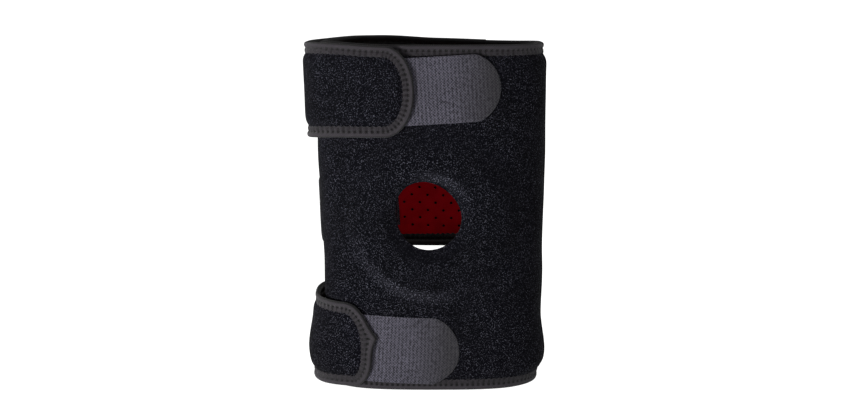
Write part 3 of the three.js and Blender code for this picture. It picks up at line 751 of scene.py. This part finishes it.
def build_straps_tape(name, settings, material):
    """The tape round a strap, which starts past the slots' own tape where the strap borders a slot."""
    outline = strap_outline(name)
    row = STRAPS[name]
    turn_low = SLOT_TURN if row["low"][0] > 0 else 0
    turn_high = SLOT_TURN if row["high"][0] < HEIGHT else 0
    inward = inward_of(outline, 6)
    first_half = np.arange(len(outline)) < len(outline) // 2
    turn = np.where(first_half, turn_low, turn_high)
    keep = outline[:, 0] > ROOT + SEAM_GAP / 2 + turn - 1e-6
    outline, inward = outline[keep], inward[keep]
    return build_tape(name + "_strap_tape", outline, inward, rest_of(name), settings, material,
                      [name + "_strap_binding"], kink=kink_of(outline, name), leg=row["leg"])


def level_path(first, last, up, inward, step=PATH_STEP):
    """A level edge with the cloth to its left, and the unit vectors towards the cloth."""
    along = np.linspace(first, last, round((last - first) / step))
    path = np.stack([along, np.full(len(along), up)], -1)
    if inward < 0:
        path = path[::-1]
    return path, np.tile((0.0, float(inward)), (len(path), 1))


def slot_path(low, high, step=PATH_STEP):
    """Round a slot's blind end, with the cloth to its left: in below the slot, up, and out above it.
    With the path come the unit vectors towards the cloth."""
    radius, root = SLOT_TURN, ROOT + SEAM_GAP / 2
    turn = np.linspace(0, np.pi / 2, 24)
    upper = np.stack([root + radius * (1 - np.sin(turn)), high - radius * (1 - np.cos(turn))], -1)
    lower = np.stack([root + radius * (1 - np.cos(turn)), low + radius * (1 - np.sin(turn))], -1)
    path = resample(np.concatenate([upper, lower])[::-1], step)
    return path, inward_of(path, 2)


def build_tab(name, material):
    """A hook tab: a strip with a round end, on two faces, its rims a little lower than its middle."""
    tab = TABS[name]
    half, shown, deep = tab["width"] / 2, tab["shown"], tab["round_depth"]
    radius = (half ** 2 + deep ** 2) / (2 * deep)
    opening = math.asin(min(1, half / radius))
    turn = np.linspace(opening, 0, TAB_ROUND_LINES)
    own = np.concatenate([np.linspace(-TAB_HIDDEN, shown - deep, TAB_STRAIGHT_LINES + 1)[:-1],
                          shown - radius * (1 - np.cos(turn))])
    reach = np.concatenate([np.full(TAB_STRAIGHT_LINES, half), radius * np.sin(turn)])
    share = np.concatenate([TAB_RIM_INSETS, np.linspace(4, 2 * half - 4, 32),
                            2 * half - TAB_RIM_INSETS[::-1]]) / half - 1
    x = np.repeat(own[:, None], len(share), 1)
    y = reach[:, None] * share[None]
    slope = math.radians(tab["slope"])
    a = tip_of(name) + x * math.cos(slope) - y * math.sin(slope)
    u = tab["up"] + x * math.sin(slope) + y * math.cos(slope)
    rim = np.minimum(half - abs(y), np.where(x > shown - deep, radius - np.hypot(x - shown + radius, y), 9))
    soft = TAB_RIM_DROP * np.exp(-np.clip(rim, 0, None) / TAB_RIM_WIDTH)
    points = two_faces(a, u, LAYER_GAP + TAB_WALL - soft, LAYER_GAP)
    piece = add_piece(name + "_hook_tab_weave", points, closed_sheet(grid_faces(*a.shape), a.size),
                      twice(x, y), material, [name + "_hook_tab"])


class Maker:
    """A new material, and short ways to add and join its shader nodes."""

    def __init__(self, name):
        self.material = bpy.data.materials.new(name)
        self.material.use_nodes = True
        self.tree = self.material.node_tree
        self.tree.nodes.clear()
        output = self.tree.nodes.new("ShaderNodeOutputMaterial")
        self.shader = self.tree.nodes.new("ShaderNodeBsdfPrincipled")
        self.link(self.shader.outputs["BSDF"], output.inputs["Surface"])

    def link(self, source, target):
        self.tree.links.new(source, target)

    def place(self, kind="Object"):
        return self.tree.nodes.new("ShaderNodeTexCoord").outputs[kind]

    def noise(self, place, scale, detail):
        node = self.tree.nodes.new("ShaderNodeTexNoise")
        node.inputs["Scale"].default_value = scale
        node.inputs["Detail"].default_value = detail
        self.link(place, node.inputs["Vector"])
        return node.outputs["Fac"]

    def grey(self, value, low, high, to_low=0.0, to_high=1.0):
        """A value stretched from low to high onto to_low to to_high, and kept between them."""
        node = self.tree.nodes.new("ShaderNodeMapRange")
        node.inputs["From Min"].default_value = low
        node.inputs["From Max"].default_value = high
        node.inputs["To Min"].default_value = to_low
        node.inputs["To Max"].default_value = to_high
        self.link(value, node.inputs["Value"])
        return node.outputs["Result"]

    def math(self, operation, first, second=None):
        node = self.tree.nodes.new("ShaderNodeMath")
        node.operation = operation
        for socket, value in zip(node.inputs, (first, second)):
            if value is None:
                continue
            if isinstance(value, (int, float)):
                socket.default_value = value
            else:
                self.link(value, socket)
        return node.outputs["Value"]

    def turns(self, value, length):
        """The angle that goes once round in every length."""
        return self.math("MULTIPLY", value, 2 * math.pi / length)

    def wave(self, value, length, kind="SINE"):
        return self.math(kind, self.turns(value, length))

    def mix(self, factor, first, second):
        node = self.tree.nodes.new("ShaderNodeMix")
        node.data_type = "RGBA"
        colours = [s for s in node.inputs if s.type == "RGBA"]
        for socket, value in zip([node.inputs[0], *colours], (factor, first, second)):
            if isinstance(value, (int, float)):
                socket.default_value = value
            elif isinstance(value, tuple):
                socket.default_value = (*value, 1)
            else:
                self.link(value, socket)
        return [s for s in node.outputs if s.type == "RGBA"][0]

    def mottled(self, value, low, high, colour, least, most):
        """A colour times least to most, as the value goes from low to high."""
        return self.mix(self.grey(value, low, high), scaled(colour, least), scaled(colour, most))

    def pattern_place(self):
        """Place along and across in the flat pattern, in metres."""
        node = self.tree.nodes.new("ShaderNodeSeparateXYZ")
        self.link(self.place("UV"), node.inputs[0])
        return node.outputs[0], node.outputs[1]

    def bump(self, height, distance, strength):
        node = self.tree.nodes.new("ShaderNodeBump")
        node.inputs["Distance"].default_value = distance
        node.inputs["Strength"].default_value = strength
        self.link(height, node.inputs["Height"])
        self.link(node.outputs["Normal"], self.shader.inputs["Normal"])

    def finish(self, colour, roughness, sheen=0.0, specular=0.1):
        self.link(colour, self.shader.inputs["Base Color"])
        self.shader.inputs["Roughness"].default_value = roughness
        self.shader.inputs["Specular IOR Level"].default_value = specular
        self.shader.inputs["Sheen Weight"].default_value = sheen
        return self.material


def scaled(colour, share):
    return tuple(c * share for c in colour)


def loop_cloth(colours):
    """Brushed loop cloth: dark ground, dense light loop tips about 1.3 mm apart, clouds in the pile,
    and painted light and shade on the padded ring's flanks.
    """
    make = Maker("brushed_loops")
    place = make.place()
    dark, tips = tuple(colours.loop_cloth), tuple(colours.loop_tips)
    loops, fibres = make.noise(place, 1250, 0.0), make.noise(place, 1900, 0.0)
    clouds = make.noise(place, 30, 3.0)
    painted_ring_light = make.tree.nodes.new("ShaderNodeAttribute")
    painted_ring_light.attribute_name = "painted_ring_light"
    painted_light = painted_ring_light.outputs["Fac"]
    speck = make.math("MULTIPLY", make.grey(loops, 0.6, 0.74), make.grey(fibres, 0.3, 0.6, 0.3))
    ground = make.mottled(clouds, 0.3, 0.7, dark, 0.7, 1.2)
    lit = make.mottled(clouds, 0.35, 0.65, tips, 1.05, 1.45)
    # Painted light and shade: the tips turn lighter and show more on the ring's flanks that face the lower
    # left, and darker on those that face away.
    lit = make.mix(make.grey(painted_light, 0, 1), lit, scaled(tips, 2.4))
    lit = make.mix(make.grey(painted_light, 0, -1, 0, 0.8), lit, scaled(tips, 0.35))
    colour = make.mix(make.math("ADD", speck, make.grey(painted_light, 0, 1, 0, 0.06)), ground, lit)
    make.bump(make.math("ADD", loops, make.math("MULTIPLY", fibres, 0.4)), 0.0008, 0.8)
    return make.finish(colour, 0.95, specular=0.04)


def red_lining(colours):
    """Smooth knit lining: fine ribs 0.9 mm apart on a deep red, paler where it is rubbed."""
    make = Maker("punched_knit")
    red = tuple(colours.lining)
    x, y = make.pattern_place()
    weave = make.math("MULTIPLY", make.wave(x, 0.0009), make.wave(y, 0.0012))
    ground = make.mottled(make.noise(make.place(), 45, 3.0), 0.35, 0.7, red, 0.8, 1.15)
    colour = make.mix(make.grey(weave, -1, 1, 0.0, 0.35), ground, scaled(red, 0.6))
    make.bump(weave, 0.00012, 0.8)
    return make.finish(colour, 0.8, specular=0.02)


def edge_tape(colours, settings):
    """Knitted binding tape: a ribbed roll, dark stitches in the furrow, a dark hem with light teeth
    between the stitches, and nearly black from the outermost line on: painted shade on the roll's
    outer side, and on the inner leg its own darker colour with painted shade on top."""
    make = Maker("ribbed_tape")
    tape = tuple(colours.tape)
    x, y = make.pattern_place()
    slant = make.math("ADD", make.turns(x, 0.0013), make.turns(y, 0.0021))
    cross = make.math("SUBTRACT", make.turns(x, 0.0018), make.turns(y, 0.0015))
    ribs = make.math("ADD", make.math("SINE", slant), make.math("MULTIPLY", make.math("SINE", cross), 0.6))
    ground = make.mottled(make.noise(make.place(), 160, 3.0), 0.3, 0.7, tape, 0.8, 1.15)
    colour = make.mix(make.grey(ribs, -1.6, 1.6), scaled(tape, 0.68), ground)
    inset = make.math("ABSOLUTE", y)
    wave = make.wave(x, settings.stitch_pitch, "COSINE")
    hem = make.grey(inset, 0.0050, 0.0060)
    uneven = make.noise(make.place(), 420, 1.0)
    gap = make.math("MULTIPLY", make.grey(wave, -0.5, 0.6), make.grey(uneven, 0.35, 0.6))
    colour = make.mix(make.math("MULTIPLY", hem, make.math("ADD", make.math("MULTIPLY", gap, 0.6), 0.25)),
                      colour, scaled(tape, 0.12))
    furrow = make.grey(make.math("ABSOLUTE", make.math("SUBTRACT", inset, STITCH_LINE * MM)), 0.0014, 0.0008)
    dots = make.grey(wave, -0.1, 0.2)
    colour = make.mix(make.math("MULTIPLY", furrow, make.math("ADD", make.math("MULTIPLY", dots, 0.8), 0.2)),
                      colour, scaled(tape, 0.05))
    # Painted shade: nearly black from the roll's outermost line on and over the whole inner leg. On the inner
    # leg the black is also the leg's own darker colour.
    inside = make.grey(y, 0.0017, 0.0006, 0.0, 0.93)
    colour = make.mix(inside, colour, (0.001, 0.001, 0.001))
    make.bump(ribs, 0.00016, 0.8)
    return make.finish(colour, 0.85, 0.05)


def hook_weave(colours):
    """Woven back of hook tape: two crossed slanted ribs 1.7 mm apart, upright cords, uneven threads,
    and painted shade that darkens it towards the round end.
    """
    make = Maker("crossed_weave")
    tab = tuple(colours.tab)
    x, y = make.pattern_place()
    weave = make.math("MULTIPLY", make.wave(x, 0.0024), make.wave(y, 0.0024))
    uneven = make.noise(make.place(), 620, 1.0)
    cloud = make.noise(make.place(), 40, 2.0)
    height = make.math("ADD", weave, make.math("MULTIPLY", make.wave(x, 0.0033), 0.45))
    height = make.math("ADD", height, make.math("MULTIPLY", make.math("SUBTRACT", uneven, 0.5), 4.2))
    ground = make.mottled(cloud, 0.3, 0.7, tab, 0.95, 1.15)
    # Painted shade: darker and warmer from 30 mm to 66 mm along the tab, towards its round end.
    ground = make.mix(make.grey(x, 0.03, 0.066, 0.0, 0.85), ground, (0.015, 0.0145, 0.0145))
    colour = make.mix(make.grey(height, -1.1, 1.1), scaled(tab, 0.16), ground)
    make.bump(height, 0.00018, 0.6)
    return make.finish(colour, 0.8, 0.05)


class SleeveColours(bpy.types.PropertyGroup):
    """Colours of the cloths, as linear light."""

    loop_cloth: bpy.props.FloatVectorProperty(
        name="Loop cloth", description="Ground of the brushed outer cloth", subtype="COLOR",
        min=0, max=1, default=(0.0005, 0.0005, 0.0013))
    loop_tips: bpy.props.FloatVectorProperty(
        name="Loop tips", description="Light ends of the loops", subtype="COLOR",
        min=0, max=1, default=(0.029, 0.029, 0.0365))
    lining: bpy.props.FloatVectorProperty(
        name="Lining", description="Punched inner cloth", subtype="COLOR", min=0, max=1,
        default=(0.35, 0.0018, 0.009))
    tape: bpy.props.FloatVectorProperty(
        name="Edge tape", description="Knitted tape over the edges", subtype="COLOR",
        min=0, max=1, default=(0.0205, 0.0182, 0.0215))
    tab: bpy.props.FloatVectorProperty(
        name="Hook tabs", description="Woven back of the hook tabs", subtype="COLOR",
        min=0, max=1, default=(0.045, 0.0427, 0.0565))


class SleeveSizes(bpy.types.PropertyGroup):
    """Sizes of the finer forms that the solids leave out."""

    stitch_pitch: bpy.props.FloatProperty(
        name="Stitch pitch", description="From stitch to stitch along the edge tape",
        unit="LENGTH", min=0.002, max=0.01, default=0.0048)
    hole_pitch: bpy.props.FloatProperty(
        name="Lining hole pitch", description="From hole to hole along a row of the lining",
        unit="LENGTH", min=0.006, max=0.04, default=0.01485)
    hole_rows: bpy.props.FloatProperty(
        name="Lining row distance", description="From row to row of the lining's holes",
        unit="LENGTH", min=0.004, max=0.04, default=0.00713)
    hole_size: bpy.props.FloatProperty(
        name="Lining hole size", description="Width of a punched hole",
        unit="LENGTH", min=0.001, max=0.005, default=0.0028)


class SLEEVE_OT_panels(bpy.types.Operator):
    """Make the padded front and back panels"""

    bl_idname = "sleeve.panels"
    bl_label = "Panels"

    def execute(self, context):
        cloth = loop_cloth(context.scene.sleeve_colours)
        build_front_panel(cloth)
        build_back_panel(cloth)
        return {"FINISHED"}


class SLEEVE_OT_straps(bpy.types.Operator):
    """Make the three padded straps"""

    bl_idname = "sleeve.straps"
    bl_label = "Straps"

    def execute(self, context):
        for name in STRAPS:
            build_strap(name, bpy.data.materials["brushed_loops"])
        return {"FINISHED"}


class SLEEVE_OT_linings(bpy.types.Operator):
    """Make the punched linings of the panels and straps"""

    bl_idname = "sleeve.linings"
    bl_label = "Linings"

    def execute(self, context):
        scene = context.scene
        red, sizes = red_lining(scene.sleeve_colours), scene.sleeve_sizes
        low, high = CLOTH_INSET, HEIGHT - CLOTH_INSET
        turn = np.linspace(0, 2 * np.pi, 73)[:-1]
        reach = hole_radius(turn) + LINING_BEHIND_HOLE
        opening = np.stack([HOLE_ALONG + reach * np.cos(turn), HOLE_UP + reach * np.sin(turn)], -1)
        front = punched_lining(
            "front_lining_cloth", box_loop(HIDDEN_END + CLOTH_INSET, FRONT_END, low, high), opening,
            flat_rest, front_inset, sizes, red, ["front_lining"])
        back = punched_lining(
            "back_lining_cloth", box_loop(SEAM_GAP / 2, ROOT - SEAM_GAP / 2, low, high), None, flat_rest,
            back_inset, sizes, red, ["back_lining"])
        for name, row in STRAPS.items():
            outline, fine, tip = strap_outline(name, 3.0), strap_outline(name), tip_of(name)
            loop = outline + CLOTH_INSET * inward_of(outline, 0)
            strap = punched_lining(
                name + "_strap_lining_cloth", loop, None, rest_of(name),
                lambda a, u, fine=fine: distance_to(fine, a, u), sizes, red, [name + "_strap_lining"],
                leg=row["leg"])
        return {"FINISHED"}


class SLEEVE_OT_tapes(bpy.types.Operator):
    """Make the folded tapes over all free edges"""

    bl_idname = "sleeve.tapes"
    bl_label = "Edge tapes"

    def execute(self, context):
        scene = context.scene
        sizes = scene.sleeve_sizes
        tape = edge_tape(scene.sleeve_colours, sizes)
        root = ROOT + 0.45 * SEAM_GAP  # just short of the straps' own tapes
        for name, first, last in (("front", HIDDEN_END, FRONT_END), ("back", SEAM_GAP / 2, root)):
            for rim, up, inward in (("bottom", 0.0, 1), ("top", HEIGHT, -1)):
                path, ways = level_path(first, last, up, inward)
                build_tape(f"{name}_{rim}_tape", path, ways, flat_rest, sizes, tape,
                           [f"{name}_{rim}_binding"])
        clear = TAPE_WIDTH + LAYER_GAP
        up = np.linspace(HEIGHT - clear, clear, 460)
        path = np.stack([np.full(len(up), HIDDEN_END), up], -1)
        build_tape("front_end_tape", path, np.tile((1.0, 0.0), (len(path), 1)), flat_rest, sizes, tape,
                   ["front_end_binding"])
        for name in STRAPS:
            build_straps_tape(name, sizes, tape)
        for place, (low, high) in zip(("lower", "upper"), slots()):
            path, ways = slot_path(low, high)
            build_tape(place + "_slot_tape", path, ways, lambda a, u: 0.0 * a, sizes, tape, [])
        return {"FINISHED"}


class SLEEVE_OT_tabs(bpy.types.Operator):
    """Make the three woven hook tabs"""

    bl_idname = "sleeve.tabs"
    bl_label = "Hook tabs"

    def execute(self, context):
        weave = hook_weave(context.scene.sleeve_colours)
        for name in TABS:
            build_tab(name, weave)
        return {"FINISHED"}


class SLEEVE_OT_stage(bpy.types.Operator):
    """Make the floor, the lights and the camera"""

    bl_idname = "sleeve.stage"
    bl_label = "Stage"

    def execute(self, context):
        scene = context.scene
        floor = bpy.data.meshes.new("floor")
        corners = [(-1, -1), (1, -1), (1, 1), (-1, 1)]
        floor.from_pydata([(FLOOR_HALF * x, FLOOR_HALF * y, 0) for x, y in corners], [], [(0, 1, 2, 3)])
        pale = Maker("pale_floor")
        grain = pale.grey(pale.noise(pale.place(), 3.0, 2.0), 0.3, 0.7)
        pale.finish(pale.mix(grain, (FLOOR_DARK,) * 3, (FLOOR_LIGHT,) * 3), 0.9)
        floor.materials.append(pale.material)
        ground = bpy.data.objects.new("floor", floor)
        ground.location.z = -FLOOR_DROP
        scene.collection.objects.link(ground)
        world = bpy.data.worlds.new("studio")
        world.use_nodes = True
        sky = world.node_tree.nodes["Background"]
        sky.inputs["Color"].default_value = (1, 1, 1, 1)
        sky.inputs["Strength"].default_value = WORLD_STRENGTH
        scene.world = world
        overhead = bpy.data.lights.new("overhead", "SUN")
        overhead.energy, overhead.angle = OVERHEAD_STRENGTH, math.radians(OVERHEAD_ANGLE)
        overhead.use_shadow = False
        scene.collection.objects.link(bpy.data.objects.new("overhead", overhead))
        key = bpy.data.lights.new("key", "AREA")
        key.shape, key.size, key.energy = "DISK", KEY_SIZE, KEY_POWER
        lamp = bpy.data.objects.new("key", key)
        lamp.location = KEY_PLACE
        lamp.rotation_euler = (lamp.location - Vector(KEY_AIM)).to_track_quat("Z", "Y").to_euler()
        scene.collection.objects.link(lamp)
        data = bpy.data.cameras.new("camera")
        data.sensor_width, data.lens = SENSOR_WIDTH, LENS
        data.clip_start, data.clip_end = 0.05, 200
        camera = bpy.data.objects.new("camera", data)
        pitch, yaw = math.radians(PITCH), math.radians(YAW)
        forward = Vector((math.cos(pitch) * math.sin(yaw), math.cos(pitch) * math.cos(yaw), -math.sin(pitch)))
        camera.location = Vector(AIM) - DISTANCE * forward
        camera.rotation_euler = forward.to_track_quat("-Z", "Y").to_euler()
        scene.collection.objects.link(camera)
        scene.camera = camera
        scene.view_settings.view_transform = "Standard"
        scene.view_settings.look = "None"
        return {"FINISHED"}


class SLEEVE_PT_build(bpy.types.Panel):
    """Lists the pieces of the sleeve"""

    bl_label = "Knee Sleeve"
    bl_idname = "SLEEVE_PT_build"
    bl_space_type = "VIEW_3D"
    bl_region_type = "UI"
    bl_category = "Knee Sleeve"

    def draw(self, context):
        for group in (context.scene.sleeve_colours, context.scene.sleeve_sizes):
            for name in group.bl_rna.properties.keys():
                if name not in ("rna_type", "name"):
                    self.layout.prop(group, name)
        for operator in OPERATORS:
            self.layout.operator(operator.bl_idname)


OPERATORS = (SLEEVE_OT_panels, SLEEVE_OT_straps, SLEEVE_OT_linings, SLEEVE_OT_tapes, SLEEVE_OT_tabs,
             SLEEVE_OT_stage)
CLASSES = (SleeveColours, SleeveSizes, *OPERATORS, SLEEVE_PT_build)


def register():
    for cls in CLASSES:
        bpy.utils.register_class(cls)
    bpy.types.Scene.sleeve_colours = bpy.props.PointerProperty(type=SleeveColours)
    bpy.types.Scene.sleeve_sizes = bpy.props.PointerProperty(type=SleeveSizes)


def unregister():
    del bpy.types.Scene.sleeve_sizes
    del bpy.types.Scene.sleeve_colours
    for cls in reversed(CLASSES):
        bpy.utils.unregister_class(cls)


def main():
    register()
    bpy.ops.sleeve.panels()
    bpy.ops.sleeve.straps()
    bpy.ops.sleeve.linings()
    bpy.ops.sleeve.tapes()
    bpy.ops.sleeve.tabs()
    bpy.ops.sleeve.stage()


if __name__ == "__main__":
    main()
